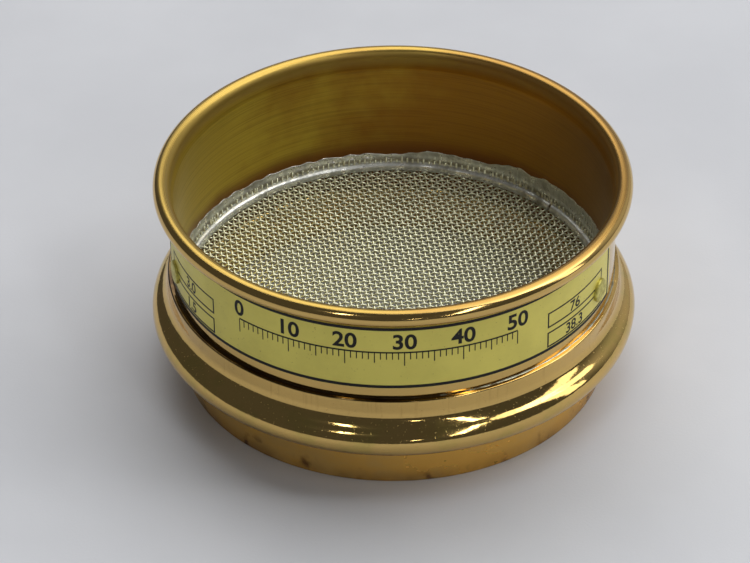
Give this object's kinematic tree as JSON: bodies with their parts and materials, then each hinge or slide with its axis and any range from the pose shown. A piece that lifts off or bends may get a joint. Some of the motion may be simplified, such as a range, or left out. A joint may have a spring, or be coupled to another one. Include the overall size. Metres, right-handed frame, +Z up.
{
  "type": "test sieve",
  "caption": "Round brass laboratory test sieve with rolled rim, riveted nameplate, soldered woven wire cloth and a bulged skirt that nests into the next sieve.",
  "frame": {"origin": "on the sieve's axis, on the surface that the skirt stands on", "axes": "+Z up along the sieve's axis, -Y towards the nameplate"},
  "size_m": [0.0856, 0.0856, 0.0383],
  "materials": {
    "polished_brass": "polished, lightly tarnished",
    "skirt_brass": "polished on the bulge, tarnished and stained on the skirt",
    "cloth_wire": "bright drawn wire",
    "tin_solder": "satin, uneven",
    "plate_print": "etched yellow plate with black border",
    "rivet_brass": "satin"
  },
  "bodies": {
    "root": {"upper_frame": "polished_brass", "skirt_ring": "skirt_brass", "wire_cloth": "cloth_wire", "cloth_hoop": "tin_solder", "cloth_solder": "tin_solder", "seam_solder": "tin_solder", "nameplate": "plate_print", "rivet_left": "rivet_brass", "rivet_right": "rivet_brass"}
  },
  "joints": []
}
